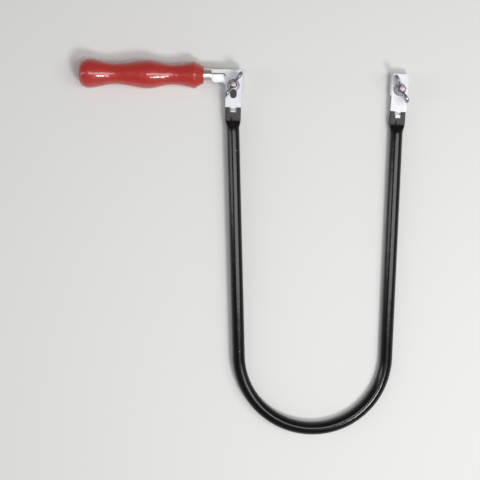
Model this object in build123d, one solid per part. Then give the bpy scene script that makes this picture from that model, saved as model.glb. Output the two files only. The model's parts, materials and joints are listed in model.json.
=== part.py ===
from build123d import *
import os
from math import cos, radians, sin, sqrt

# Fretsaw frame: a U-shaped tubular bow with flattened ends, a folded sheet bracket and a
# wing-nut blade clamp on each end, and a turned handle on the handle-side bracket.
# Millimetres. While it is drawn, X runs from the handle to the far clamp, Y from the bend up
# to the clamps, and Z from the back of the saw to the wing nuts. Z = 0 is the middle plane of
# the bow, and X = Y = 0 is the centre of the bend. A lean is an angle in degrees from the +Y
# direction, positive away from the throat.

# ---- bow ----
tube_diameter = 10.0
tube_wall = 1.0
bend_radius = 59.3            # to the tube's centreline
handle_leg_length = 191.0     # straight tube and ramp, from the bend to the flattened end
far_leg_length = 189.0
handle_leg_lean = 1.4
far_leg_lean = 2.65
handle_end_lean = -1.0        # the flattened ends are set a little off their legs
far_end_lean = 4.6
ramp_length = 8.0             # from round to flat
flat_width = 12.6
flat_thickness = 3.5
flat_corner = 0.9
flat_below_bracket = 9.4      # bare flattened tube between the ramp and the bracket

# ---- brackets: one sheet folded over the flattened end, open on the outer side ----
sheet = 1.2
fold_radius = 1.1             # outside of the fold
bracket_above_screw = 12.8
bracket_below_screw = 17.5
fold_below_screw = 5.1        # the fold's web stops here, the cheeks run on
tongue_width = 4.3            # front tongue, bent into the window in the tube
tongue_drop = 0.9
tab_width = 3.8               # back tab, bent forward through the same window
tab_drop = 3.9
far_tab_clinch = 1.3          # how far the far bracket's tab is hammered over
window_width = 5.4
window_margin = 0.3
slot_clearance = 0.4          # blade slot in the handle-side front cheek, round the screw
slot_drop = 7.6

# ---- handle-side arm of the bracket ----
arm_reach = 17.4              # from the screw to the ferrule's face
arm_depth = 10.7              # from the bracket's top edge down
arm_chamfer = 2.2
inner_corner = 3.0
handle_above_screw = 8.2      # handle axis
saddle_gap = 0.2              # from the pressed ribs over the tang to the bow
saddle_flank = 16.0           # slope of the ribs' lower side, degrees
slit_width = 0.9
slit_above_axis = 0.7
slit_hook_length = 2.8        # the slit's blind end hooks down
slit_hook_turn = -58.0

# ---- tang, ferrule, handle ----
tang_diameter = 6.0
tang_end_gap = 0.4            # from the tang to the rib's blind end
tang_in_handle = 62.0
tang_point_gap = 0.5          # from the tang's point to the end of its hole
tang_half_inside = 0.3        # the half-round part starts this far inside the ferrule
fixed_gap = 0.05              # radial gap of pieces that are pressed or glued together
ferrule_diameter = 11.2
ferrule_wall = 0.8
ferrule_length = 6.7
ferrule_chamfer = 0.5
handle_length = 100.0
butt_diameter = 24.0
butt_from_end = 8.0
butt_rounding = 6.0
rear_waist_diameter = 17.0
rear_waist_from_end = 27.5
palm_diameter = 23.0
palm_from_end = 54.5
front_waist_diameter = 16.6
front_waist_from_end = 75.5
collar_diameter = 22.1
collar_from_end = 92.6
collar_rise = 0.3             # slope of the wood as it meets the collar's edge
nose_diameter = 13.8

# ---- clamps: M5 cup square screw, washer and wing nut ----
thread_diameter = 5.0
thread_pitch = 0.8
thread_gap = 0.06             # radial gap of the washer and the nut on the thread
screw_length = 20.0
screw_tip = 0.6
head_diameter = 13.0
head_height = 3.0
neck_gap = 0.1
washer_diameter = 10.2
washer_thickness = 1.0
hub_base_diameter = 10.0
hub_top_diameter = 7.6
hub_height = 6.5
wing_span = 24.6
wing_height = 12.6            # top of the wings above the washer
wing_root = 2.6               # bottom of the wings above the washer
wing_lobe_diameter = 8.6
wing_thickness = 3.0
wing_rounding = 0.8
wing_root_inset = 1.2         # how far the wings run into the hub, from its top edge
wing_root_drop = 0.6          # top of the wings' roots below the hub's top
wing_upper_touch = 143.0      # where the wing's edges meet the lobe's circle, degrees
wing_lower_touch = -45.6
handle_wing_turn = -33.7      # how far each wing nut is turned from the bracket's long side
far_wing_turn = 28.5
opening_turns = 6

cut_over = 1.0                # how far a cut reaches past the metal
hair = 0.01                   # keeps two faces from lying in one plane
huge = 200.0                  # larger than any bracket

parts = {}
inner_face = flat_thickness / 2
outer_face = inner_face + sheet
tang_hole = tang_diameter / 2 + fixed_gap
neck_hole_width = thread_diameter + 2 * neck_gap
saddle_length = arm_reach - flat_width / 2 - (tang_hole + sheet - outer_face) - saddle_gap


def leg_frame(side, lean, origin):
    """Plane whose Y axis runs up a leg that has this lean. side is -1 at the handle and 1 at the
    far end."""
    turn = -side * lean
    return Plane(origin=origin, x_dir=(cos(radians(turn)), sin(radians(turn)), 0), z_dir=(0, 0, 1))


def leg_foot(side, lean):
    """Where the leg runs into the bend."""
    return Vector(side * bend_radius * cos(radians(lean)), -bend_radius * sin(radians(lean)), 0)


def leg_top(side, lean, length):
    """Where the flattened end starts."""
    return leg_foot(side, lean) + Vector(side * sin(radians(lean)), cos(radians(lean)), 0) * length


def screw_place(side, lean, length, end_lean):
    """The clamp screw's axis crosses the bow's middle plane here."""
    up = Vector(side * sin(radians(end_lean)), cos(radians(end_lean)), 0)
    return leg_top(side, lean, length) + up * (flat_below_bracket + bracket_below_screw)


def across(frame, height):
    """Plane square to a leg frame's Y axis, at a height along it."""
    return Plane(origin=frame.origin + frame.y_dir * height, x_dir=frame.x_dir, z_dir=frame.y_dir)


def round_outline(diameter):
    """A circle in eight arcs, so that its ramp matches a rounded rectangle edge for edge."""
    bounds = [-25, 25, 65, 115, 155, 205, 245, 295, 335]
    points = [(diameter / 2 * cos(radians(angle)), diameter / 2 * sin(radians(angle))) for angle in bounds]
    with BuildSketch() as outline:
        with BuildLine():
            for start, end in zip(points, points[1:]):
                RadiusArc(start, end, -diameter / 2)
        make_face()
    return outline.sketch


def bow_filling(diameter, width, thickness, corner, overrun):
    """The bow as a solid bar: bend, two legs, two ramps and two flat ends."""
    ring = Plane.XZ * Pos(bend_radius, 0) * Circle(diameter / 2)
    bend = revolve(ring, axis=Axis.Z, revolution_arc=180 - handle_leg_lean - far_leg_lean)
    pieces = [Rot(0, 0, 180 + handle_leg_lean) * bend]
    for side, lean, length, end_lean in (
        (-1, handle_leg_lean, handle_leg_length, handle_end_lean),
        (1, far_leg_lean, far_leg_length, far_end_lean),
    ):
        leg = leg_frame(side, lean, leg_foot(side, lean))
        end = leg_frame(side, end_lean, leg_top(side, lean, length))
        round_section = across(leg, 0) * Circle(diameter / 2)
        pieces.append(extrude(round_section, amount=length - ramp_length))
        ramp_foot = across(leg, length - ramp_length) * round_outline(diameter)
        flat_section = across(end, 0) * RectangleRounded(width, thickness, corner)
        pieces.append(loft([ramp_foot.face(), flat_section.face()]))
        rise = flat_below_bracket + bracket_below_screw + bracket_above_screw + overrun
        pieces.append(extrude(flat_section, amount=rise))
    whole = pieces[0]
    for piece in pieces[1:]:
        whole = whole + piece
    return whole


handle_screw = screw_place(-1, handle_leg_lean, handle_leg_length, handle_end_lean)
far_screw = screw_place(1, far_leg_lean, far_leg_length, far_end_lean)
handle_clamp = leg_frame(-1, handle_end_lean, handle_screw)
far_clamp = leg_frame(1, far_end_lean, far_screw)


def window_box():
    """Window in the flattened tube for the bracket's tongue and tab, in clamp coordinates."""
    top = -bracket_below_screw - tongue_drop + sheet + window_margin
    bottom = -bracket_below_screw - tab_drop - window_margin
    return Pos(0, (top + bottom) / 2, 0) * Box(window_width, top - bottom, flat_thickness + 2 * cut_over)


# ---- bow tube ----
outer = bow_filling(tube_diameter, flat_width, flat_thickness, flat_corner, 0)
bore = bow_filling(
    tube_diameter - 2 * tube_wall,
    flat_width - 2 * tube_wall,
    flat_thickness - 2 * tube_wall,
    (flat_thickness - 2 * tube_wall) / 3,
    cut_over,
)
bow = outer - bore
for clamp in (handle_clamp, far_clamp):
    screw_hole = Cylinder(neck_hole_width / 2, flat_thickness + 2 * cut_over)
    neck_hole = Pos(0, 0, -inner_face) * Box(neck_hole_width, neck_hole_width, 2 * tube_wall)
    bow = bow - clamp * screw_hole - clamp * neck_hole - clamp * window_box()
parts["bow_tube"] = bow


# ---- brackets, drawn with the throat on the +X side ----
def plate(sketch, low, high):
    return Pos(0, 0, low) * extrude(sketch, amount=high - low)


def upright():
    """One cheek's outline over the flattened tube."""
    height = bracket_above_screw + bracket_below_screw
    middle = (bracket_above_screw - bracket_below_screw) / 2
    return Pos(0, middle) * Rectangle(flat_width, height)


def bracket_blank(clinch):
    """Two cheeks, the folded web, the front tongue and the back tab."""
    cheeks = plate(upright(), inner_face, outer_face) + plate(upright(), -outer_face, -inner_face)
    web_height = bracket_above_screw + fold_below_screw
    web = Pos(flat_width / 2 + sheet / 2, (bracket_above_screw - fold_below_screw) / 2, 0) * Box(
        sheet, web_height, 2 * outer_face
    )
    wrap = cheeks + web
    fold_edges = wrap.edges().filter_by(Axis.Y).sort_by(Axis.X)[-2:]
    wrap = fillet(fold_edges, fold_radius)
    foot = -bracket_below_screw
    mid_sheet = (outer_face + inner_face) / 2
    tongue = Pos(0, foot - tongue_drop / 2, mid_sheet) * Box(tongue_width, tongue_drop, sheet)
    tongue_leg = Pos(0, foot - tongue_drop + sheet / 2, (outer_face + tube_wall / 2) / 2) * Box(
        tongue_width, sheet, outer_face - tube_wall / 2
    )
    tab = Pos(0, foot - tab_drop / 2, -mid_sheet) * Box(tab_width, tab_drop, sheet)
    tab_leg = Pos(0, foot - tab_drop + sheet / 2, 0) * Box(tab_width, sheet, 2 * inner_face + 2 * sheet)
    wrap = wrap + tongue + tongue_leg + tab + tab_leg
    if clinch > 0:
        lip_middle = foot - tab_drop + (sheet - clinch) / 2
        wrap = wrap + Pos(0, lip_middle, mid_sheet) * Box(tab_width, sheet + clinch, sheet)
    neck_hole = Pos(0, 0, -outer_face) * Box(neck_hole_width, neck_hole_width, 3 * sheet)
    return wrap - neck_hole


def arm_outline():
    """Outline of one cheek of the arm: chamfered at the lower handle end, with a rounded inner corner."""
    left = -arm_reach
    right = -flat_width / 2
    top = bracket_above_screw
    low = top - arm_depth
    with BuildSketch() as outline:
        with BuildLine():
            Polyline(
                (right + cut_over, top),
                (left, top),
                (left, low + arm_chamfer),
                (left + arm_chamfer, low),
                (right - inner_corner, low),
            )
            RadiusArc((right - inner_corner, low), (right, low - inner_corner), inner_corner)
            Polyline(
                (right, low - inner_corner),
                (right + cut_over, low - inner_corner),
                (right + cut_over, top),
            )
        make_face()
    return outline.sketch


def rib_section(crest, level):
    """Section of a pressed rib across the arm: level to the slit, over the tang on an arc of
    radius crest, and down its flank to the given level."""
    slope = radians(saddle_flank)
    shoulder = (-crest * sin(slope), crest * cos(slope))
    toe = -(crest - level * cos(slope)) / sin(slope)
    top = (slit_above_axis, sqrt(crest**2 - slit_above_axis**2))
    with BuildSketch(Plane.YZ) as section:
        with BuildLine():
            Polyline((toe, 0), (slit_above_axis, 0), top)
            RadiusArc(top, shoulder, -crest)
            Polyline(shoulder, (toe, level), (toe, 0))
        make_face()
    return section.sketch


def rib_side(crest, level):
    """Side view of a pressed rib: its crest is level from the ferrule, then slopes down to the
    given level at the blind end."""
    start = -arm_reach - cut_over
    end = -arm_reach + saddle_length
    drop = crest - level
    with BuildSketch(Plane.XZ) as view:
        with BuildLine():
            Polyline(
                (end - drop, crest + hair),
                (start, crest + hair),
                (start, 0),
                (end + drop, 0),
                (end + drop, level),
                (end - drop, crest + hair),
            )
        make_face()
    return view.sketch


def pressed_rib(crest, level):
    """A rib as a solid bar: its section along the arm, trimmed to its side view."""
    bar = extrude(rib_section(crest, level), amount=arm_reach)
    along = Pos(-arm_reach - cut_over, handle_above_screw, 0) * bar
    return along & extrude(rib_side(crest, level), amount=huge, both=True)


def with_saddle(wrap):
    """Adds the arm with its two slit and pressed ribs, one on each cheek."""
    arm_room = Pos(-arm_reach / 2, 0, 0) * Box(arm_reach, huge, huge)
    skin = pressed_rib(tang_hole + sheet, outer_face) & arm_room
    hollow = pressed_rib(tang_hole, inner_face)
    slit_start = -arm_reach - cut_over
    slit_end = -arm_reach + saddle_length
    slit_middle = handle_above_screw + slit_above_axis + slit_width / 2
    hook_middle = Rot(0, 0, slit_hook_turn) * Pos((slit_hook_length - slit_width) / 2, 0, 0)
    hook = Pos(slit_end, slit_middle, 0) * hook_middle * Box(slit_hook_length, slit_width, huge)
    slit_length = slit_end - slit_start
    cut = Pos(slit_start + slit_length / 2, slit_middle, 0) * Box(slit_length, slit_width, huge) + hook
    for face in (1, -1):
        low, high = sorted((face * inner_face, face * outer_face))
        cheek = plate(arm_outline(), low, high)
        half = Pos(0, 0, face * huge / 2) * Box(huge, huge, huge)
        raised = skin if face > 0 else mirror(skin, Plane.XY)
        void = hollow if face > 0 else mirror(hollow, Plane.XY)
        wrap = wrap + cheek + raised - void - (cut & half)
    return wrap


handle_wrap = with_saddle(bracket_blank(0))
slot_outline = SlotCenterToCenter(slot_drop, thread_diameter + slot_clearance, rotation=90)
blade_slot = Pos(0, -slot_drop / 2, inner_face - hair) * extrude(slot_outline, amount=2 * sheet)
parts["handle_bracket"] = handle_clamp * (handle_wrap - blade_slot)

far_wrap = bracket_blank(far_tab_clinch)
screw_hole_front = Pos(0, 0, outer_face) * Cylinder(neck_hole_width / 2, 3 * sheet)
parts["far_bracket"] = far_clamp * mirror(far_wrap - screw_hole_front, Plane.YZ)


# ---- handle, along -X from the bracket in clamp coordinates ----
ferrule_face = -arm_reach
shoulder_x = ferrule_face - ferrule_length
butt_x = shoulder_x - handle_length
spigot_radius = ferrule_diameter / 2 - ferrule_wall - fixed_gap


def turned(outline):
    """A sketch drawn above the X axis, turned about it, and put on the handle's axis."""
    return Pos(0, handle_above_screw, 0) * revolve(outline, axis=Axis.X)


with BuildSketch() as handle_profile:
    with BuildLine():
        Line((butt_x, 0), (butt_x, butt_diameter / 2 - butt_rounding))
        butt_centre = (butt_x + butt_from_end, butt_diameter / 2 - butt_rounding)
        EllipticalCenterArc(butt_centre, butt_from_end, butt_rounding, 90, arc_size=90)
        Spline(
            (butt_x + butt_from_end, butt_diameter / 2),
            (butt_x + rear_waist_from_end, rear_waist_diameter / 2),
            (butt_x + palm_from_end, palm_diameter / 2),
            (butt_x + front_waist_from_end, front_waist_diameter / 2),
            (butt_x + collar_from_end, collar_diameter / 2),
            tangents=((1, 0), (1, collar_rise)),
        )
        Polyline(
            (butt_x + collar_from_end, collar_diameter / 2),
            (shoulder_x, nose_diameter / 2),
            (shoulder_x, spigot_radius),
            (ferrule_face - ferrule_wall - fixed_gap, spigot_radius),
            (ferrule_face - ferrule_wall - fixed_gap, tang_hole),
            (ferrule_face - tang_in_handle, tang_hole),
            (ferrule_face - tang_in_handle - tang_hole, 0),
            (butt_x, 0),
        )
    make_face()
parts["handle"] = handle_clamp * turned(handle_profile.sketch)

with BuildSketch() as ferrule_profile:
    with BuildLine():
        outer_r = ferrule_diameter / 2
        Polyline(
            (shoulder_x, outer_r - ferrule_wall),
            (shoulder_x, outer_r),
            (ferrule_face - ferrule_chamfer, outer_r),
            (ferrule_face, outer_r - ferrule_chamfer),
            (ferrule_face, tang_hole),
            (ferrule_face - ferrule_wall, tang_hole),
            (ferrule_face - ferrule_wall, outer_r - ferrule_wall),
            (shoulder_x, outer_r - ferrule_wall),
        )
    make_face()
parts["ferrule"] = handle_clamp * turned(ferrule_profile.sketch)

tang_start = ferrule_face - tang_in_handle + tang_point_gap
tang_end = ferrule_face + saddle_length - (tang_hole - inner_face) - tang_end_gap
with BuildSketch() as tang_profile:
    with BuildLine():
        point = tang_diameter / 2
        Polyline(
            (tang_start - point, 0),
            (tang_start, point),
            (tang_end, point),
            (tang_end, 0),
            (tang_start - point, 0),
        )
    make_face()
half_start = ferrule_face - tang_half_inside
halved = Pos(half_start + huge / 2, handle_above_screw + huge / 2, 0) * Box(huge, huge, huge)
parts["tang"] = handle_clamp * (turned(tang_profile.sketch) - halved)


# ---- clamps ----
def cup_screw():
    """Cup square screw: domed head behind the bracket, square neck, shank towards +Z."""
    dome_radius = (head_diameter**2 / 4 + head_height**2) / (2 * head_height)
    dome = Pos(0, 0, -outer_face - head_height + dome_radius) * Sphere(dome_radius)
    head = dome & Pos(0, 0, -outer_face - head_height / 2) * Cylinder(head_diameter / 2, head_height)
    neck_length = sheet + tube_wall
    neck = Pos(0, 0, -outer_face + neck_length / 2) * Box(thread_diameter, thread_diameter, neck_length)
    shank = Pos(0, 0, -outer_face + screw_length / 2) * Cylinder(thread_diameter / 2, screw_length)
    shank = chamfer(shank.edges().filter_by(GeomType.CIRCLE).sort_by(Axis.Z)[-1], screw_tip)
    return head + neck + shank


def washer():
    ring = Cylinder(washer_diameter / 2, washer_thickness) - Cylinder(
        thread_diameter / 2 + thread_gap, washer_thickness + 2 * cut_over
    )
    return Pos(0, 0, outer_face + washer_thickness / 2) * ring


def wing_nut(turn):
    """Tapered hub with two upright lobed wings, turned about the screw by the given angle."""
    seat = outer_face + washer_thickness
    hub = Pos(0, 0, seat + hub_height / 2) * Cone(hub_base_diameter / 2, hub_top_diameter / 2, hub_height)
    lobe_r = wing_lobe_diameter / 2
    lobe_x = wing_span / 2 - lobe_r
    lobe_z = seat + wing_height - lobe_r
    root_x = hub_top_diameter / 2 - wing_root_inset
    root_top = seat + hub_height - wing_root_drop
    upper, lower = radians(wing_upper_touch), radians(wing_lower_touch)
    with BuildSketch(Plane.XZ) as outline:
        with Locations((lobe_x, lobe_z)):
            Circle(lobe_r)
        with BuildLine():
            Polyline(
                (root_x, root_top),
                (lobe_x + lobe_r * cos(upper), lobe_z + lobe_r * sin(upper)),
                (lobe_x + lobe_r * cos(lower), lobe_z + lobe_r * sin(lower)),
                (hub_base_diameter / 2 - wing_root_drop, seat + wing_root),
                (root_x, seat + wing_root),
                (root_x, root_top),
            )
        make_face()
    wing = extrude(outline.sketch, amount=wing_thickness / 2, both=True)
    faces = wing.faces().sort_by(Axis.Y)
    wing = fillet(faces[0].edges() + faces[-1].edges(), wing_rounding)
    nut = hub + wing + wing.rotate(Axis.Z, 180)
    nut = nut - Pos(0, 0, seat + hub_height / 2) * Cylinder(thread_diameter / 2 + thread_gap, 2 * hub_height)
    return nut.rotate(Axis.Z, 90 + turn)


for name, clamp, turn in (
    ("handle", handle_clamp, handle_wing_turn),
    ("far", far_clamp, far_wing_turn),
):
    parts[f"{name}_clamp_screw"] = clamp * cup_screw()
    parts[f"{name}_clamp_washer"] = clamp * washer()
    parts[f"{name}_wing_nut"] = clamp * wing_nut(turn)

# ---- put the saw's lowest point on Z = 0 and the middle of its box on the Z axis ----
boxes = [shape.bounding_box() for shape in parts.values()]
low = [min(tuple(box.min)[axis] for box in boxes) for axis in range(3)]
high = [max(tuple(box.max)[axis] for box in boxes) for axis in range(3)]
stand = Pos(-(low[0] + high[0]) / 2, -(low[1] + high[1]) / 2, -low[2])

os.makedirs("parts", exist_ok=True)
for name, shape in parts.items():
    export_step(stand * shape, f"parts/{name}.step")
    print(name, len(shape.solids()), round(shape.volume, 2))

for name, clamp in (("handle", handle_clamp), ("far", far_clamp)):
    print(name, "clamp axis", tuple(round(value, 4) for value in stand.position + clamp.origin))
print("bend centre", tuple(round(value, 4) for value in stand.position))
print("box", [round(top - bottom, 3) for bottom, top in zip(low, high)])
print("middle plane height", round(-low[2], 4), "nut travel", opening_turns * thread_pitch)
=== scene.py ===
import json

import bmesh
import bpy
import numpy as np
from math import cos, pi, radians, sin
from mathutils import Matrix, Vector


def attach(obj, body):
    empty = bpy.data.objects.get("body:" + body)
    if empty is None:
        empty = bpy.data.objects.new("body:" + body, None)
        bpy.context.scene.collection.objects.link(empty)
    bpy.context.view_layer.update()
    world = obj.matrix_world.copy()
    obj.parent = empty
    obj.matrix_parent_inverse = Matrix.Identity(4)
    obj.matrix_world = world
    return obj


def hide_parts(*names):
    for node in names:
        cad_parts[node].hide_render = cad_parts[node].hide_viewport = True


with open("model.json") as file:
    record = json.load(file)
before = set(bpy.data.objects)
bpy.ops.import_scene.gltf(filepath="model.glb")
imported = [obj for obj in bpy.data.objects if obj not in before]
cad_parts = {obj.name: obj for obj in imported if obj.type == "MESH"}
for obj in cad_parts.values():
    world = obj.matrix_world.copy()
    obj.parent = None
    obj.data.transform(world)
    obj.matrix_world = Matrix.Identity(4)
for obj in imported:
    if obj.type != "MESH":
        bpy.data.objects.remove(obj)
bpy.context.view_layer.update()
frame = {"nodes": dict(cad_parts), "record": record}

# Shapes are worked out in millimetres and put into the meshes in metres.
MM = 0.001

# ---- the bow ----
TUBE_RADIUS = 5.0
TUBE_WALL = 1.0
BEND_RADIUS = 59.3
HANDLE_LEG = {"side": -1, "lean": 1.4, "length": 191.0, "end_lean": -1.0}
FAR_LEG = {"side": 1, "lean": 2.65, "length": 189.0, "end_lean": 4.6}
RAMP = 8.0
FLAT_WIDTH = 12.6
FLAT_THICKNESS = 3.5
FLAT_CORNER = 0.9
FLAT_BELOW_SCREW = 26.9
FLAT_ABOVE_SCREW = 12.8
WINDOW = (-21.7, -16.9, 2.7)      # lower end, upper end and half width, from the screw
SCREW_HOLE = (-2.6, 2.6, 2.6)

# ---- the handle, measured along its axis from the butt ----
HANDLE_LENGTH = 100.0
BUTT = (8.0, 11.9, 6.0)           # place of the widest ring, its radius, rounding of the end
REAR_WAIST = (28.5, 8.45)
PALM = (55.0, 11.55)
FRONT_WAIST = (75.5, 8.3)
COLLAR = (92.6, 11.05)
NOSE_RADIUS = 6.9
HANDLE_ABOVE_SCREW = 8.2
ARM_REACH = 17.4

# ---- ferrule and tang ----
FERRULE_RADIUS = 5.6
FERRULE_WALL = 0.8
FERRULE_LENGTH = 6.7
TANG_RADIUS = 3.0
TANG_IN_HANDLE = 62.0

# ---- clamps ----
SHEET_FACE = 2.95                 # outer face of a bracket, from the bow's middle plane
THREAD_RADIUS = 2.5
THREAD_PITCH = 0.8
THREAD_DEPTH = 0.42
SCREW_LENGTH = 20.0
HEAD_RADIUS = 6.5
HEAD_HEIGHT = 3.0
WASHER_RADIUS = 5.1
WASHER_THICKNESS = 1.0
HUB_BASE_RADIUS = 5.0
HUB_TOP_RADIUS = 3.8
HUB_HEIGHT = 6.5
WING_HEIGHT = 12.6
WING_SPAN = 24.6
LOBE_RADIUS = 4.3
WING_ROOT = (1.9, 4.2)            # start of the wing's middle line, from the screw and the washer
WING_NECK = 2.5                   # half height of the wing where it leaves the hub
WING_HALF_THICKNESS = 1.55
WING_THINNING = 0.45              # less thickness halfway along the neck
CASTING_GRAIN = 0.16              # step of the skin that joins hub and wings
SHEET_EDGE = 0.22                 # rolled edge of the stamped sheet
HANDLE_WING_TURN = -33.7
FAR_WING_TURN = 28.5

joints = {joint["name"]: joint for joint in frame["record"]["behaviour"]["joints"]}


# ---------------------------------------------------------------- places

def direction(angle):
    """Unit vector in the bow's plane, turned from the X axis by an angle in degrees."""
    return np.array([cos(radians(angle)), sin(radians(angle)), 0.0])


def leg_points(leg):
    """Foot, top and clamp centre of a leg, from the centre of the bend."""
    lean, end_lean = radians(leg["lean"]), radians(leg["end_lean"])
    foot = np.array([leg["side"] * BEND_RADIUS * cos(lean), -BEND_RADIUS * sin(lean), 0.0])
    top = foot + leg["length"] * np.array([leg["side"] * sin(lean), cos(lean), 0.0])
    clamp = top + FLAT_BELOW_SCREW * np.array([leg["side"] * sin(end_lean), cos(end_lean), 0.0])
    return foot, top, clamp


clamp_centre = {
    "handle": np.array(joints["handle_nut_turn"]["pos_m"]) / MM,
    "far": np.array(joints["far_nut_turn"]["pos_m"]) / MM,
}
bend_centre = clamp_centre["handle"] - leg_points(HANDLE_LEG)[2]
clamp_turn = {"handle": HANDLE_LEG["end_lean"], "far": -FAR_LEG["end_lean"]}


def at_clamp(points, name):
    """Points drawn about a clamp screw, turned to lie along its leg's end and moved to it."""
    turn = radians(clamp_turn[name])
    spin = np.array([[cos(turn), sin(turn), 0], [-sin(turn), cos(turn), 0], [0, 0, 1]])
    return points @ spin + clamp_centre[name]


# ---------------------------------------------------------------- meshes

def grid_faces(rows, columns, wrap_rows=False, wrap_columns=True):
    """The quads of a grid of points. A wrapped direction joins its last line to its first."""
    row = np.arange(rows if wrap_rows else rows - 1)
    column = np.arange(columns if wrap_columns else columns - 1)
    row, column = np.meshgrid(row, column, indexing="ij")
    next_row, next_column = (row + 1) % rows, (column + 1) % columns
    quads = [row * columns + column, next_row * columns + column,
             next_row * columns + next_column, row * columns + next_column]
    return np.stack(quads, axis=-1)


def volume(points, faces):
    """Signed volume inside a closed mesh of quads or triangles: the sum over its triangles of
    the triple product of their corners, over six."""
    total = 0.0
    for last in range(2, faces.shape[1]):
        corner, second, third = points[faces[:, 0]], points[faces[:, last - 1]], points[faces[:, last]]
        total += np.einsum("ij,ij->i", corner, np.cross(second, third)).sum() / 6
    return total


def make_piece(name, points, face_sets, material, body, crease=40, attribute=None):
    """Puts points in millimetres and their faces into a mesh, with its faces pointing outwards."""
    centred = points - points.mean(axis=0)
    inside = sum(volume(centred, faces) for faces in face_sets)
    faces = [face for part in face_sets for face in (part if inside > 0 else part[:, ::-1]).tolist()]
    mesh = bpy.data.meshes.new(name)
    mesh.from_pydata((points * MM).tolist(), [], faces)
    mesh.polygons.foreach_set("use_smooth", np.ones(len(mesh.polygons), dtype=bool))
    mesh.set_sharp_from_angle(angle=radians(crease))
    if attribute is not None:
        layer = mesh.attributes.new(attribute[0], "FLOAT", "POINT")
        layer.data.foreach_set("value", attribute[1].astype(np.float32))
    mesh.materials.append(material)
    piece = bpy.data.objects.new(name, mesh)
    bpy.context.scene.collection.objects.link(piece)
    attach(piece, body)
    return piece


def closed_surface(rings):
    """Points and faces of a surface made of rings, an array of rings by points, whose first and
    last rings are closed by a fan to their middles."""
    rows, columns = rings.shape[:2]
    points = np.concatenate([rings.reshape(-1, 3), rings[:1].mean(axis=1), rings[-1:].mean(axis=1)])
    here = np.arange(columns)
    after = (here + 1) % columns
    start, end = np.full(columns, rows * columns), np.full(columns, rows * columns + 1)
    first = np.stack([start, here, after], axis=-1)
    last = np.stack([end, (rows - 1) * columns + after, (rows - 1) * columns + here], axis=-1)
    return points, [grid_faces(rows, columns).reshape(-1, 4), first, last]


def walk(stops, spacing):
    """Evenly spaced places between stops, keeping every stop."""
    steps = [np.linspace(a, b, max(1, int(np.ceil(abs(b - a) / spacing))) + 1)[:-1]
             for a, b in zip(stops, stops[1:])]
    return np.concatenate(steps + [np.array([stops[-1]], dtype=float)])


def smooth(t):
    """Cubic ease from 0 to 1."""
    t = np.clip(t, 0, 1)
    return t * t * (3 - 2 * t)


# ---------------------------------------------------------------- materials

def new_material(name, colour, metallic=0.0, roughness=0.5, coat=0.0, coat_roughness=0.1):
    """A principled material, its node tree and its shader."""
    material = bpy.data.materials.new(name)
    material.use_nodes = True
    tree = material.node_tree
    shader = tree.nodes["Principled BSDF"]
    shader.inputs["Base Color"].default_value = (*colour, 1)
    shader.inputs["Metallic"].default_value = metallic
    shader.inputs["Roughness"].default_value = roughness
    shader.inputs["Coat Weight"].default_value = coat
    shader.inputs["Coat Roughness"].default_value = coat_roughness
    return material, tree, shader


def place_map(tree, scale=(1, 1, 1), turn=0.0):
    """Object coordinates, stretched and turned about Z."""
    coordinates = tree.nodes.new("ShaderNodeTexCoord")
    mapping = tree.nodes.new("ShaderNodeMapping")
    mapping.inputs["Scale"].default_value = scale
    mapping.inputs["Rotation"].default_value = (0, 0, radians(turn))
    tree.links.new(coordinates.outputs["Object"], mapping.inputs["Vector"])
    return mapping.outputs["Vector"]


def noise(tree, vector, scale, detail=3.0, roughness=0.5):
    """Cloudy noise, from 0 to 1."""
    node = tree.nodes.new("ShaderNodeTexNoise")
    node.inputs["Scale"].default_value = scale
    node.inputs["Detail"].default_value = detail
    node.inputs["Roughness"].default_value = roughness
    tree.links.new(vector, node.inputs["Vector"])
    return node.outputs["Fac"]


def ramp(tree, value, stops):
    """Colours or greys at places along a value."""
    node = tree.nodes.new("ShaderNodeValToRGB")
    while len(node.color_ramp.elements) < len(stops):
        node.color_ramp.elements.new(0.5)
    for element, (place, colour) in zip(node.color_ramp.elements, stops):
        element.position = place
        element.color = (*colour, 1) if isinstance(colour, tuple) else (colour, colour, colour, 1)
    tree.links.new(value, node.inputs["Fac"])
    return node.outputs["Color"]


def mix(tree, factor, first, second):
    """Blend of two colours by a factor."""
    node = tree.nodes.new("ShaderNodeMix")
    node.data_type = "RGBA"
    tree.links.new(factor, node.inputs["Factor"])
    for socket, value in ((node.inputs[6], first), (node.inputs[7], second)):
        if isinstance(value, tuple):
            socket.default_value = (*value, 1)
        else:
            tree.links.new(value, socket)
    return node.outputs[2]


def bump(tree, height, strength, distance, normal=None):
    """Normals tilted by a height, on top of other normals if there are any."""
    node = tree.nodes.new("ShaderNodeBump")
    node.inputs["Strength"].default_value = strength
    node.inputs["Distance"].default_value = distance
    tree.links.new(height, node.inputs["Height"])
    if normal is not None:
        tree.links.new(normal, node.inputs["Normal"])
    return node.outputs["Normal"]


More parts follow.
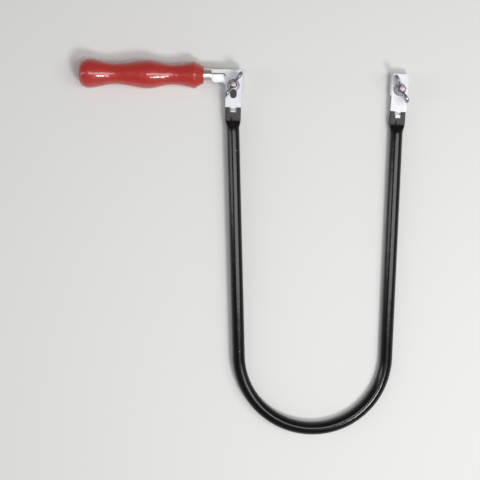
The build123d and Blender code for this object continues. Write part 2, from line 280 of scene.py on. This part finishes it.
def black_enamel():
    """Gloss black enamel: nearly flat, with a few chips. Where the tube is pressed flat it is duller, and its
    colour carries a painted brown-grey reflection of bright surroundings."""
    material, tree, shader = new_material("black_enamel", (0.004, 0.0035, 0.0035), roughness=0.16)
    shader.inputs["Specular IOR Level"].default_value = 0.4
    vector = place_map(tree)
    pressed = tree.nodes.new("ShaderNodeAttribute")
    pressed.attribute_name = "pressed"
    deep, lit = (0.0028, 0.0025, 0.0026), (0.0055, 0.0048, 0.0048)
    tone = ramp(tree, noise(tree, vector, 90, 4), [(0.3, deep), (0.7, lit)])
    # Painted reflection: a brown-grey lift of the black, mixed in by the pressed attribute, stands in for the
    # bright surroundings that the flat faces of the pressed ends mirror. The higher roughness there is the
    # enamel's own duller finish.
    reflection_dark, reflection_pale = (0.040, 0.031, 0.034), (0.058, 0.048, 0.050)
    painted_flat_reflection = ramp(tree, noise(tree, vector, 260, 4), [(0.3, reflection_dark), (0.7, reflection_pale)])
    chips = ramp(tree, noise(tree, vector, 420, 2, 0.6), [(0.775, 0.0), (0.79, 1.0)])
    colour = mix(tree, pressed.outputs["Fac"], tone, painted_flat_reflection)
    tree.links.new(mix(tree, chips, colour, (0.55, 0.54, 0.52)), shader.inputs["Base Color"])
    sheen = ramp(tree, pressed.outputs["Fac"], [(0.0, 0.15), (1.0, 0.46)])
    tree.links.new(sheen, shader.inputs["Roughness"])
    fine = bump(tree, noise(tree, vector, 700, 2), 0.12, 0.0002)
    tree.links.new(bump(tree, noise(tree, vector, 130, 2), 0.25, 0.0004, fine), shader.inputs["Normal"])
    return material


def zinc_sheet():
    """Bright zinc plating on sheet steel: pale, a little clouded, with faint rolling lines."""
    material, tree, shader = new_material("zinc_sheet", (0.8, 0.82, 0.86), metallic=0.35, roughness=0.45)
    vector = place_map(tree)
    cloud = ramp(tree, noise(tree, vector, 160, 3), [(0.25, (0.68, 0.70, 0.73)), (0.75, (0.80, 0.81, 0.82))])
    lines = noise(tree, place_map(tree, (60, 1500, 60)), 1.0, 2)
    tree.links.new(mix(tree, ramp(tree, lines, [(0.35, 0.0), (0.65, 0.25)]), cloud, (0.60, 0.62, 0.69)),
                   shader.inputs["Base Color"])
    sheen = ramp(tree, noise(tree, vector, 420, 3), [(0.3, 0.40), (0.7, 0.52)])
    tree.links.new(sheen, shader.inputs["Roughness"])
    tree.links.new(bump(tree, lines, 0.15, 0.00006), shader.inputs["Normal"])
    return material


def red_lacquer():
    """Red lacquer over turned wood: a clear gloss coat with slight runs over a faintly grained red."""
    material, tree, shader = new_material("red_lacquer", (0.43, 0.03, 0.026), roughness=0.42, coat=1.0,
                                          coat_roughness=0.07)
    grain = noise(tree, place_map(tree, (30, 420, 420)), 1.0, 4, 0.6)
    blotch = noise(tree, place_map(tree), 70, 3)
    red = ramp(tree, grain, [(0.28, (0.38, 0.018, 0.010)), (0.72, (0.51, 0.025, 0.015))])
    deep = ramp(tree, blotch, [(0.3, 0.0), (0.75, 0.35)])
    tree.links.new(mix(tree, deep, red, (0.50, 0.015, 0.024)), shader.inputs["Base Color"])
    runs = noise(tree, place_map(tree, (1.0, 0.55, 0.55)), 330, 2, 0.55)
    surface = bump(tree, runs, 0.55, 0.0006)
    tree.links.new(surface, shader.inputs["Coat Normal"])
    tree.links.new(bump(tree, grain, 0.2, 0.0001, surface), shader.inputs["Normal"])
    return material


def nickel():
    """Bright warm nickel plating with faint turning marks round it."""
    material, tree, shader = new_material("nickel", (0.82, 0.78, 0.74), metallic=1.0, roughness=0.34)
    marks = noise(tree, place_map(tree, (2600, 40, 40)), 1.0, 2)
    tone = ramp(tree, marks, [(0.3, (0.76, 0.72, 0.68)), (0.7, (0.88, 0.85, 0.81))])
    tree.links.new(tone, shader.inputs["Base Color"])
    tree.links.new(ramp(tree, noise(tree, place_map(tree), 300, 3), [(0.3, 0.30), (0.7, 0.40)]),
                   shader.inputs["Roughness"])
    tree.links.new(bump(tree, marks, 0.12, 0.00004), shader.inputs["Normal"])
    return material


def zinc_screw():
    """Zinc-plated screw steel with a slight pink-grey cast."""
    material, tree, shader = new_material("zinc_screw", (0.60, 0.55, 0.55), metallic=0.95, roughness=0.3)
    vector = place_map(tree)
    tone = ramp(tree, noise(tree, vector, 900, 4), [(0.3, (0.24, 0.19, 0.20)), (0.7, (0.48, 0.40, 0.41))])
    tree.links.new(tone, shader.inputs["Base Color"])
    tree.links.new(bump(tree, noise(tree, vector, 1500, 2), 0.2, 0.00006), shader.inputs["Normal"])
    return material


def zinc_casting():
    """Tumbled zinc-plated nut: darker blue-grey metal, faintly uneven."""
    material, tree, shader = new_material("zinc_casting", (0.55, 0.55, 0.60), metallic=1.0, roughness=0.33)
    vector = place_map(tree)
    tone = ramp(tree, noise(tree, vector, 500, 4), [(0.3, (0.26, 0.26, 0.32)), (0.7, (0.46, 0.45, 0.51))])
    tree.links.new(tone, shader.inputs["Base Color"])
    sheen = ramp(tree, noise(tree, vector, 350, 3), [(0.3, 0.26), (0.7, 0.42)])
    tree.links.new(sheen, shader.inputs["Roughness"])
    tree.links.new(bump(tree, noise(tree, vector, 800, 3), 0.25, 0.00012), shader.inputs["Normal"])
    return material


def drawn_steel():
    """Plain drawn rod with fine lines along it."""
    material, tree, shader = new_material("drawn_steel", (0.42, 0.41, 0.40), metallic=1.0, roughness=0.4)
    lines = noise(tree, place_map(tree, (60, 2400, 2400)), 1.0, 2)
    tone = ramp(tree, lines, [(0.3, (0.34, 0.33, 0.32)), (0.7, (0.50, 0.49, 0.48))])
    tree.links.new(tone, shader.inputs["Base Color"])
    tree.links.new(bump(tree, lines, 0.2, 0.00005), shader.inputs["Normal"])
    return material


finish = {
    "enamel": black_enamel(),
    "sheet": zinc_sheet(),
    "lacquer": red_lacquer(),
    "nickel": nickel(),
    "screw": zinc_screw(),
    "casting": zinc_casting(),
    "rod": drawn_steel(),
}


# ---------------------------------------------------------------- bow tube

def flat_section(width, height, corner, stops):
    """Rounded rectangle walked anticlockwise from the middle of its right side, with points on
    its long faces at every stop and its mirror."""
    half_w, half_h = width / 2, height / 2
    quarter = np.linspace(0, pi / 2, 7)
    spread = np.concatenate([np.linspace(-(half_w - corner), half_w - corner, 12), stops, -stops])
    across = np.sort(spread)
    arcs = [np.stack([sx * (half_w - corner) + corner * np.cos(quarter + turn),
                      sy * (half_h - corner) + corner * np.sin(quarter + turn)], axis=-1)[:-1]
            for sx, sy, turn in ((1, 1, 0), (-1, 1, pi / 2), (-1, -1, pi), (1, -1, 3 * pi / 2))]
    top = np.stack([across[::-1], np.full_like(across, half_h)], axis=-1)[:-1]
    bottom = np.stack([across, np.full_like(across, -half_h)], axis=-1)[:-1]
    side = np.linspace(0, half_h - corner, 3)
    right_up = np.stack([np.full(2, half_w), side[:-1]], axis=-1)
    left = np.stack([np.full(4, -half_w), np.linspace(half_h - corner, corner - half_h, 5)[:-1]], axis=-1)
    right_low = np.stack([np.full(2, half_w), -side[::-1][:-1]], axis=-1)
    return np.concatenate([right_up, arcs[0], top, arcs[1], left, arcs[2], bottom, arcs[3], right_low])


def round_like(section, radius):
    """Circle whose points divide it as the section's points divide its outline."""
    step = np.linalg.norm(np.roll(section, -1, axis=0) - section, axis=1)
    angle = 2 * pi * np.concatenate([[0], np.cumsum(step)[:-1]]) / step.sum()
    return radius * np.stack([np.cos(angle), np.sin(angle)], axis=-1)


def bow_stations():
    """Centres, outward directions, flatness and height above the nearer screw of the tube's
    rings, from the handle-side end round the bend to the far end."""
    ends = []
    for leg in (HANDLE_LEG, FAR_LEG):
        foot, top, clamp = leg_points(leg)
        side = leg["side"]
        along = np.array([side * sin(radians(leg["end_lean"])), cos(radians(leg["end_lean"])), 0.0])
        out_end = side * np.array([along[1], -along[0], 0.0])
        up = np.array([side * sin(radians(leg["lean"])), cos(radians(leg["lean"])), 0.0])
        out_leg = side * np.array([up[1], -up[0], 0.0])
        stops = [FLAT_ABOVE_SCREW, SCREW_HOLE[1], SCREW_HOLE[0], WINDOW[1], WINDOW[0], -FLAT_BELOW_SCREW]
        height = walk(stops, 0.8)
        centre = clamp + height[:, None] * along
        ramp_t = np.linspace(0, 1, 22)[1:]
        ramp_centre = top - RAMP * ramp_t[:, None] * up
        ramp_out = out_end + smooth(ramp_t)[:, None] * (out_leg - out_end)
        leg_t = np.linspace(0, 1, 80)[1:-1]
        leg_foot_up = foot + (leg["length"] - RAMP) * (1 - leg_t)[:, None] * up
        ends.append((
            np.concatenate([centre, ramp_centre, leg_foot_up]),
            np.concatenate([np.tile(out_end, (len(height), 1)), ramp_out, np.tile(out_leg, (len(leg_t), 1))]),
            np.concatenate([np.ones(len(height)), 1 - smooth(ramp_t), np.zeros(len(leg_t))]),
            np.concatenate([height, -FLAT_BELOW_SCREW - RAMP * ramp_t, np.full(len(leg_t), -60.0)]),
        ))
    angle = np.radians(np.linspace(180 + HANDLE_LEG["lean"], 360 - FAR_LEG["lean"], 150))
    radial = np.stack([np.cos(angle), np.sin(angle), np.zeros_like(angle)], axis=-1)
    bend = (BEND_RADIUS * radial, radial, np.zeros(len(angle)), np.full(len(angle), -60.0))
    joined = [np.concatenate([a, b, c[::-1]]) for a, b, c in zip(ends[0], bend, ends[1])]
    joined[1] /= np.linalg.norm(joined[1], axis=1)[:, None]
    return joined


def bow_tube():
    """The tube's wall between two skins. Each skin carries a section along the bow, going from a
    circle to a rounded rectangle of the same outline length; quads are left out of both skins at
    the windows and screw holes, and walls join the skins wherever a quad has no neighbour. A
    short crease, a bell curve across the tube, dents the front face just above each ramp."""
    centre, out, flat, height = bow_stations()
    crease = np.arange(0.5, 2.1, 0.25)
    stops = np.concatenate([[WINDOW[2], SCREW_HOLE[2]], crease])
    skins = []
    for inset in (0.0, TUBE_WALL):
        corner = FLAT_CORNER if inset == 0 else (FLAT_THICKNESS - 2 * inset) / 3
        pressed = flat_section(FLAT_WIDTH - 2 * inset, FLAT_THICKNESS - 2 * inset, corner, stops)
        round_one = round_like(pressed, TUBE_RADIUS - inset)
        section = round_one + flat[:, None, None] * (pressed - round_one)
        across, lift = section[..., 0], section[..., 1].copy()
        fold = smooth((-23.2 - height) / 3) * smooth((height + 33.5) / 5)
        lift -= np.sign(lift) * (fold[:, None] * 0.45 * np.exp(-((np.abs(across) - 1.2) / 0.45) ** 2)
                                 * (across * centre[:, 0:1] < 0) * (lift > 0))
        skin = centre[:, None, :] + across[..., None] * out[:, None, :]
        skin[..., 2] += lift
        skins.append(skin)
    rows, columns = skins[0].shape[:2]
    points = np.concatenate([skin.reshape(-1, 3) for skin in skins]) + bend_centre
    middle_height = (height[:-1] + height[1:]) / 2
    pressed = flat_section(FLAT_WIDTH, FLAT_THICKNESS, FLAT_CORNER, stops)
    middle_across = (pressed[:, 0] + np.roll(pressed[:, 0], -1)) / 2
    gone = np.zeros((rows - 1, columns), dtype=bool)
    for low, high, half in (WINDOW, SCREW_HOLE):
        in_rows = (middle_height > low) & (middle_height < high)
        gone |= in_rows[:, None] & (np.abs(middle_across) < half)[None, :]
    outer = grid_faces(rows, columns)
    inner = outer + rows * columns
    walls = []
    padded_gone = np.concatenate([np.ones((1, columns), bool), gone, np.ones((1, columns), bool)])
    for row_edge in (0, 1):
        edge_on = padded_gone[:-2] if row_edge == 0 else padded_gone[2:]
        need = ~gone & edge_on
        corners = (0, 3) if row_edge == 0 else (2, 1)
        a, b = outer[..., corners[0]][need], outer[..., corners[1]][need]
        walls.append(np.stack([a, b, b + rows * columns, a + rows * columns], axis=-1))
    for shift, corners in ((1, (1, 0)), (-1, (3, 2))):
        need = ~gone & np.roll(gone, shift, axis=1)
        a, b = outer[..., corners[0]][need], outer[..., corners[1]][need]
        walls.append(np.stack([a, b, b + rows * columns, a + rows * columns], axis=-1))
    faces = np.concatenate([outer[~gone], inner[~gone][:, ::-1]] + walls)
    # Mask for the enamel's painted reflection colour and its duller roughness. On the outer skin it covers
    # the broad flat faces of the pressed ends; on the inner skin it covers the whole pressed part.
    pressed_flat = np.repeat(smooth((flat - 0.86) / 0.12), columns)
    face_up = np.abs(skins[0][..., 2]) > FLAT_THICKNESS / 2 - 0.15
    reflection_and_dullness_mask = np.concatenate([pressed_flat * face_up.ravel(), pressed_flat])
    piece = make_piece("bow", points, [faces], finish["enamel"], "frame", 35, ("pressed", reflection_and_dullness_mask))
    drop_loose(piece, np.setdiff1d(np.arange(len(points)), faces))
    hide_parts("bow_tube")


def drop_loose(piece, unused):
    """Takes the points that no face uses out of a mesh."""
    work = bmesh.new()
    work.from_mesh(piece.data)
    work.verts.ensure_lookup_table()
    bmesh.ops.delete(work, geom=[work.verts[i] for i in unused], context="VERTS")
    work.to_mesh(piece.data)
    work.free()


# ---------------------------------------------------------------- turned pieces

def turned(profile, columns=96, ripple=None):
    """Rings about the X axis from a profile of (place, radius) pairs, with an optional ripple
    added to the radius."""
    angle = np.linspace(0, 2 * pi, columns, endpoint=False)
    place, radius = profile[:, 0:1], profile[:, 1:2]
    swell = radius + (ripple(place, angle[None, :]) if ripple else np.zeros((1, columns)))
    place = np.broadcast_to(place, swell.shape)
    return np.stack([place, swell * np.cos(angle), swell * np.sin(angle)], axis=-1)


def handle_radius(place):
    """Half thickness of the grip: half-cosine waves between its widest and narrowest rings, a
    quarter wave up to the collar, and a quarter ellipse at the butt."""
    rings = [BUTT[:2], REAR_WAIST, PALM, FRONT_WAIST]
    radius = np.full_like(place, BUTT[1])
    for (start, first), (end, second) in zip(rings, rings[1:]):
        share = np.clip((place - start) / (end - start), 0, 1)
        wave = first + (second - first) * (1 - np.cos(pi * share)) / 2
        radius = np.where(place > start, wave, radius)
    last = (place - FRONT_WAIST[0]) / (COLLAR[0] - FRONT_WAIST[0])
    flare = FRONT_WAIST[1] + (COLLAR[1] - FRONT_WAIST[1]) * (1 - np.cos(pi / 2 * last))
    radius = np.where(last > 0, flare, radius)
    butt = np.clip((BUTT[0] - place) / BUTT[0], 0, 1)
    return radius - np.where(place < BUTT[0], BUTT[2] * (1 - np.sqrt(1 - butt**2)), 0)


def handle_ripple(place, angle):
    """Slow unevenness of hand-finished wood: three long waves round and along the grip."""
    grip = smooth(place / 6) * smooth((94 - place) / 6)
    return grip * (0.035 * np.sin(place / 2.9 + 2.1 * np.sin(angle)) + 0.03 * np.sin(place / 1.7 + 3 * angle)
                   + 0.025 * np.sin(place / 4.3 - 2 * angle + 1.0))


def handle():
    """Turned grip: its outline and the hole for the tang, turned about the handle's axis."""
    butt = BUTT[0] * (1 - np.cos(np.linspace(0, pi / 2, 26)[1:]))
    face = np.array([(0.0, 0.6), (0.0, 3.5), (0.0, 5.6)])
    grip = np.concatenate([butt[:-1], np.linspace(BUTT[0], COLLAR[0] - 0.6, 210)])
    outline = np.stack([grip, handle_radius(grip)], axis=-1)
    collar, rim = COLLAR
    cone = np.array([(collar - 0.25, rim - 0.05), (collar, rim - 0.08), (collar + 0.3, rim - 0.25)])
    slope = np.linspace(COLLAR[0] + 0.8, HANDLE_LENGTH - 0.4, 24)
    fall = COLLAR[1] + (NOSE_RADIUS - COLLAR[1]) * (slope - COLLAR[0]) / (HANDLE_LENGTH - COLLAR[0])
    spigot = FERRULE_RADIUS - FERRULE_WALL - 0.05
    hole = TANG_RADIUS + 0.05
    end = HANDLE_LENGTH + FERRULE_LENGTH - FERRULE_WALL - 0.05
    bore_end = HANDLE_LENGTH + FERRULE_LENGTH - TANG_IN_HANDLE
    nose = np.array([(HANDLE_LENGTH - 0.12, NOSE_RADIUS + 0.12), (HANDLE_LENGTH, NOSE_RADIUS - 0.25),
                     (HANDLE_LENGTH, spigot), (end, spigot), (end, hole), (bore_end, hole),
                     (bore_end - 2.4, 0.4)])
    profile = np.concatenate([face, outline, cone, np.stack([slope, fall], axis=-1), nose])
    rings = turned(profile, 120, handle_ripple)
    rings[..., 0] += -ARM_REACH - FERRULE_LENGTH - HANDLE_LENGTH
    rings[..., 1] += HANDLE_ABOVE_SCREW
    points, faces = closed_surface(rings)
    piece = make_piece("grip", at_clamp(points, "handle"), faces, finish["lacquer"], "frame", 50)
    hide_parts("handle")


def ferrule():
    """Drawn cap ring: a closed section with a rounded shoulder, turned about the handle's axis."""
    face, back = -ARM_REACH, -ARM_REACH - FERRULE_LENGTH
    outer, inner, hole = FERRULE_RADIUS, FERRULE_RADIUS - FERRULE_WALL, TANG_RADIUS + 0.05
    bend = np.linspace(0, pi / 2, 9)
    shoulder = np.stack([face - 0.7 + 0.7 * np.sin(bend), outer - 0.7 + 0.7 * np.cos(bend)], axis=-1)
    section = np.concatenate([
        np.array([(back, inner), (back, outer - 0.12), (back + 0.12, outer)]),
        np.stack([np.linspace(back + 0.4, face - 0.9, 12), np.full(12, outer)], axis=-1),
        shoulder,
        np.array([(face, hole + 0.1), (face - 0.1, hole)]),
        np.array([(face - FERRULE_WALL, hole), (face - FERRULE_WALL, inner)]),
    ])
    rings = turned(section, 96)
    rings[..., 1] += HANDLE_ABOVE_SCREW
    faces = grid_faces(*rings.shape[:2], wrap_rows=True).reshape(-1, 4)
    points = at_clamp(rings.reshape(-1, 3), "handle")
    piece = make_piece("ferrule_ring", points, [faces], finish["nickel"], "frame", 30)
    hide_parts("ferrule")


# ---------------------------------------------------------------- clamps

def about_screw(place, radius):
    """Rings about the Z axis from places along it and radii, which may vary round a ring."""
    columns = radius.shape[1]
    angle = np.linspace(0, 2 * pi, columns, endpoint=False)
    place = np.broadcast_to(place, radius.shape)
    return np.stack([radius * np.cos(angle), radius * np.sin(angle), place], axis=-1)


def cup_screw(name):
    """Cup square screw in one skin: a spherical dome, a square neck (half its width over the
    larger of |cos| and |sin|) and a thread whose radius is a clipped triangle wave of the height
    less the turn."""
    columns = 56
    angle = np.linspace(0, 2 * pi, columns, endpoint=False)[None, :]
    low = -SHEET_FACE - HEAD_HEIGHT
    dome_radius = (HEAD_RADIUS**2 + HEAD_HEIGHT**2) / (2 * HEAD_HEIGHT)
    swing = np.linspace(0.02, np.arcsin(HEAD_RADIUS / dome_radius), 22)
    dome_z, dome_r = low + dome_radius * (1 - np.cos(swing)), dome_radius * np.sin(swing)
    head_z = np.concatenate([dome_z[:-1], [-SHEET_FACE - 0.35, -SHEET_FACE - 0.1, -SHEET_FACE]])
    head_r = np.concatenate([dome_r[:-1], [HEAD_RADIUS, HEAD_RADIUS - 0.02, HEAD_RADIUS - 0.2]])
    head = np.repeat(head_r[:, None], columns, axis=1)
    square = THREAD_RADIUS / np.maximum(np.abs(np.cos(angle)), np.abs(np.sin(angle)))
    neck_z = np.array([-SHEET_FACE, -0.9, -0.75])
    neck = np.concatenate([square, square, np.minimum(square, THREAD_RADIUS)])
    end = -SHEET_FACE + SCREW_LENGTH
    thread_z = np.linspace(-0.7, end - 0.02, 230)
    phase = np.mod(thread_z[:, None] / THREAD_PITCH - angle / (2 * pi), 1.0)
    groove = np.clip(2.3 * np.abs(2 * phase - 1) - 0.55, 0, 1)
    tip = np.clip((end - thread_z[:, None]) / 0.7, 0, 1)
    thread = np.minimum(THREAD_RADIUS - 0.02 - THREAD_DEPTH * groove, THREAD_RADIUS - 0.65 + 0.65 * tip)
    place = np.concatenate([head_z, neck_z, thread_z, [end]])[:, None]
    radius = np.concatenate([head, neck, thread, np.full((1, columns), THREAD_RADIUS - 0.85)])
    points, faces = closed_surface(about_screw(place, radius))
    piece = make_piece(f"{name}_cup_screw", at_clamp(points, name), faces, finish["screw"], "frame", 35)
    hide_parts(f"{name}_clamp_screw")


def washer(name):
    """Punched washer: a rectangle with one rolled and one sharp edge, turned about the screw."""
    low, high = SHEET_FACE, SHEET_FACE + WASHER_THICKNESS
    hole = THREAD_RADIUS + 0.06
    rim = WASHER_RADIUS
    section = np.array([
        (hole, low), (rim - 0.1, low), (rim, low + 0.1), (rim, high - 0.4),
        (rim - 0.08, high - 0.18), (rim - 0.22, high - 0.05), (rim - 0.45, high),
        (hole + 0.15, high), (hole, high - 0.15),
    ])
    rings = about_screw(section[:, 1:2], np.repeat(section[:, 0:1], 80, axis=1))
    faces = grid_faces(*rings.shape[:2], wrap_rows=True).reshape(-1, 4)
    points = at_clamp(rings.reshape(-1, 3), name)
    piece = make_piece(f"{name}_washer_ring", points, [faces], finish["casting"], f"{name}_washer", 30)
    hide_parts(f"{name}_clamp_washer")


def wing_shell():
    """One wing: ellipse-like rings carried along the line from the hub to the lobe's far side.
    The ring's height grows smoothly to the lobe and then follows its circle, and its thickness
    is least at the neck."""
    root = np.array(WING_ROOT)
    lobe = np.array([WING_SPAN / 2 - LOBE_RADIUS, WING_HEIGHT - LOBE_RADIUS])
    reach = np.linalg.norm(lobe - root)
    slope = (lobe - root) / reach
    swing = np.linspace(0, pi / 2, 26)[1:]
    along = np.concatenate([np.linspace(0, reach, 34), reach + LOBE_RADIUS * np.sin(swing)])
    beyond = np.clip((along - reach) / LOBE_RADIUS, 0, 1)
    height = WING_NECK + (LOBE_RADIUS - WING_NECK) * smooth(along / reach)
    height = np.where(along > reach, LOBE_RADIUS * np.sqrt(np.maximum(1 - beyond**2, 1e-4)), height)
    neck = np.sin(pi * np.clip(along / reach, 0, 1)) * (along < reach)
    thick = WING_HALF_THICKNESS - WING_THINNING * neck
    thick = thick * np.sqrt(np.maximum(1 - beyond**5, 0.003))
    turn = np.linspace(0, 2 * pi, 40, endpoint=False)[None, :]
    power = 2 / 2.5
    rise = height[:, None] * np.sign(np.cos(turn)) * np.abs(np.cos(turn)) ** power
    depth = thick[:, None] * np.sign(np.sin(turn)) * np.abs(np.sin(turn)) ** power
    x = root[0] + along[:, None] * slope[0] - rise * slope[1]
    z = root[1] + along[:, None] * slope[1] + rise * slope[0]
    return np.stack([x, depth, z], axis=-1)


def wing_nut(name, turn):
    """A tapered hub with a chamfered rim and two wings, fused and slightly softened as a casting."""
    seat = SHEET_FACE + WASHER_THICKNESS
    hole = THREAD_RADIUS + 0.06
    taper = (HUB_TOP_RADIUS - HUB_BASE_RADIUS) / HUB_HEIGHT
    section = [(hole + 0.3, 0.0), (HUB_BASE_RADIUS - 0.15, 0.0), (HUB_BASE_RADIUS, 0.15)]
    section += [(HUB_BASE_RADIUS + taper * z, z) for z in np.linspace(0.6, HUB_HEIGHT - 0.4, 12)]
    section += [(HUB_TOP_RADIUS - 0.1, HUB_HEIGHT - 0.1), (HUB_TOP_RADIUS - 0.3, HUB_HEIGHT)]
    section += [(hole + 0.3, HUB_HEIGHT), (hole, HUB_HEIGHT - 0.3), (hole, 0.3)]
    section = np.array(section)
    hub = about_screw(section[:, 1:2], np.repeat(section[:, 0:1], 96, axis=1))
    hub_points, hub_faces = hub.reshape(-1, 3), grid_faces(*hub.shape[:2], wrap_rows=True).reshape(-1, 4)
    wing_points, wing_faces = closed_surface(wing_shell())
    spin = np.diag([-1.0, -1.0, 1.0])
    points = np.concatenate([hub_points, wing_points, wing_points @ spin])
    shift = len(hub_points)
    if volume(hub_points, hub_faces) < 0:
        hub_faces = hub_faces[:, ::-1]
    centred = wing_points - wing_points.mean(axis=0)
    if sum(volume(centred, part) for part in wing_faces) < 0:
        wing_faces = [part[:, ::-1] for part in wing_faces]
    faces = [hub_faces] + [part + shift for part in wing_faces]
    faces += [part + shift + len(wing_points) for part in wing_faces]
    points[:, 2] += seat
    angle = radians(90 + turn)
    spin = np.array([[cos(angle), sin(angle), 0], [-sin(angle), cos(angle), 0], [0, 0, 1]])
    points = at_clamp(points @ spin, name)
    piece = make_piece(f"{name}_winged_nut", points, faces, finish["casting"], f"{name}_nut", 60)
    fuse(piece, CASTING_GRAIN * MM)
    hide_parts(f"{name}_wing_nut")


def fuse(piece, voxel):
    """Rebuilds a piece of crossing shells as one skin and softens it."""
    remesh = piece.modifiers.new("one_skin", "REMESH")
    remesh.mode = "VOXEL"
    remesh.voxel_size = voxel
    remesh.use_smooth_shade = True
    soften = piece.modifiers.new("soften", "SMOOTH")
    soften.factor = 0.5
    soften.iterations = 4
    bpy.context.view_layer.update()
    graph = bpy.context.evaluated_depsgraph_get()
    skin = bpy.data.meshes.new_from_object(piece.evaluated_get(graph), depsgraph=graph)
    skin.name = piece.name
    piece.modifiers.clear()
    skin.materials.clear()
    skin.materials.append(finish["casting"])
    piece.data = skin


# ---------------------------------------------------------------- brackets

def rounded_sheet(node, name):
    """The folded sheet with its stamped edges rolled over: a merged copy of the CAD solid."""
    source = frame["nodes"][node]
    work = bmesh.new()
    work.from_mesh(source.data)
    bmesh.ops.remove_doubles(work, verts=work.verts, dist=0.002 * MM)
    bmesh.ops.dissolve_limit(work, angle_limit=radians(1.0), verts=work.verts, edges=work.edges)
    mesh = bpy.data.meshes.new(name)
    work.to_mesh(mesh)
    work.free()
    mesh.polygons.foreach_set("use_smooth", np.ones(len(mesh.polygons), dtype=bool))
    mesh.set_sharp_from_angle(angle=radians(35))
    mesh.materials.clear()
    mesh.materials.append(finish["sheet"])
    piece = bpy.data.objects.new(name, mesh)
    bpy.context.scene.collection.objects.link(piece)
    edge = piece.modifiers.new("rolled_edges", "BEVEL")
    edge.width = SHEET_EDGE * MM
    edge.segments = 3
    edge.limit_method = "ANGLE"
    edge.angle_limit = radians(35)
    edge.use_clamp_overlap = True
    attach(piece, "frame")
    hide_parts(node)


# ---------------------------------------------------------------- build

bow_tube()
handle()
ferrule()
for clamp_name, nut_turn in (("handle", HANDLE_WING_TURN), ("far", FAR_WING_TURN)):
    cup_screw(clamp_name)
    washer(clamp_name)
    wing_nut(clamp_name, nut_turn)
    rounded_sheet(f"{clamp_name}_bracket", f"{clamp_name}_folded_sheet")
tang = frame["nodes"]["tang"]
tang.data.materials.clear()
tang.data.materials.append(finish["rod"])


# ---------------------------------------------------------------- floor, light, camera

def rest_plane():
    """Height of the floor at the origin and its slopes, through three points: under the handle's
    butt, the middle of the bend and the far screw's head. Beside them the bow and the handle dip
    up to 0.86 mm into the floor."""
    widest = -ARM_REACH - FERRULE_LENGTH - HANDLE_LENGTH + BUTT[0]
    butt = at_clamp(np.array([[widest, HANDLE_ABOVE_SCREW, -BUTT[1] - 0.1]]), "handle")[0]
    bottom = bend_centre + np.array([0, -BEND_RADIUS, -TUBE_RADIUS])
    head = at_clamp(np.array([[0, 0, -SHEET_FACE - HEAD_HEIGHT]]), "far")[0]
    contacts = np.stack([butt, bottom, head])
    return np.linalg.solve(np.column_stack([contacts[:, :2], np.ones(3)]), contacts[:, 2])


def floor():
    """Plain pale floor, 0.15 mm under the three points of rest_plane."""
    slope_x, slope_y, height = rest_plane()
    reach = 2500.0
    corners = np.array([[-1, -1], [1, -1], [1, 1], [-1, 1]]) * reach
    points = np.column_stack([corners, corners @ np.array([slope_x, slope_y]) + height - 0.15])
    mesh = bpy.data.meshes.new("floor")
    mesh.from_pydata((points * MM).tolist(), [], [(0, 1, 2, 3)])
    material, tree, shader = new_material("floor_paper", (0.78, 0.78, 0.77), roughness=0.75)
    mesh.materials.append(material)
    piece = bpy.data.objects.new("floor", mesh)
    bpy.context.scene.collection.objects.link(piece)


def area_light(name, place, width, length, power):
    """Rectangular lamp aimed at the origin."""
    lamp = bpy.data.lights.new(name, "AREA")
    lamp.shape = "RECTANGLE"
    lamp.size, lamp.size_y = width, length
    lamp.energy = power
    holder = bpy.data.objects.new(name, lamp)
    holder.location = place
    holder.rotation_euler = (-Vector(place)).to_track_quat("-Z", "Y").to_euler()
    bpy.context.scene.collection.objects.link(holder)


def surroundings():
    """Soft studio: pale near the horizon, dim overhead, where the lamps are."""
    world = bpy.data.worlds.new("studio")
    world.use_nodes = True
    tree = world.node_tree
    coordinates = tree.nodes.new("ShaderNodeTexCoord")
    split = tree.nodes.new("ShaderNodeSeparateXYZ")
    tree.links.new(coordinates.outputs["Generated"], split.inputs["Vector"])
    shade = ramp(tree, split.outputs["Z"], [(0.0, 0.40), (0.25, 0.26), (0.6, 0.15), (1.0, 0.12)])
    tree.links.new(shade, tree.nodes["Background"].inputs["Color"])
    bpy.context.scene.world = world


def camera():
    """Looks straight down. The view is centred a little below and left of the bow's middle."""
    view_width, distance = 0.3864, 0.9
    middle = bend_centre * MM + np.array([-0.0582, 0.0922, 0.0])
    offset_x, offset_y = -0.004, 0.045
    lens = bpy.data.cameras.new("camera")
    lens.sensor_width = 36.0
    lens.lens = 36.0 * distance / view_width
    lens.shift_x = -offset_x / view_width
    lens.shift_y = -offset_y / view_width
    lens.clip_start = 0.01
    holder = bpy.data.objects.new("camera", lens)
    holder.location = (middle[0] + offset_x, middle[1] + offset_y, middle[2] + distance)
    bpy.context.scene.collection.objects.link(holder)
    bpy.context.scene.camera = holder


floor()
surroundings()
area_light("long_strip", (0.36, 0.0, 1.05), 0.36, 1.2, 6.2)
area_light("key", (0.38, -0.46, 1.0), 0.24, 0.26, 5.6)
area_light("left_strip", (-1.1, 0.05, 0.72), 0.20, 1.1, 2.2)
camera()
bpy.context.scene.view_settings.view_transform = "Standard"
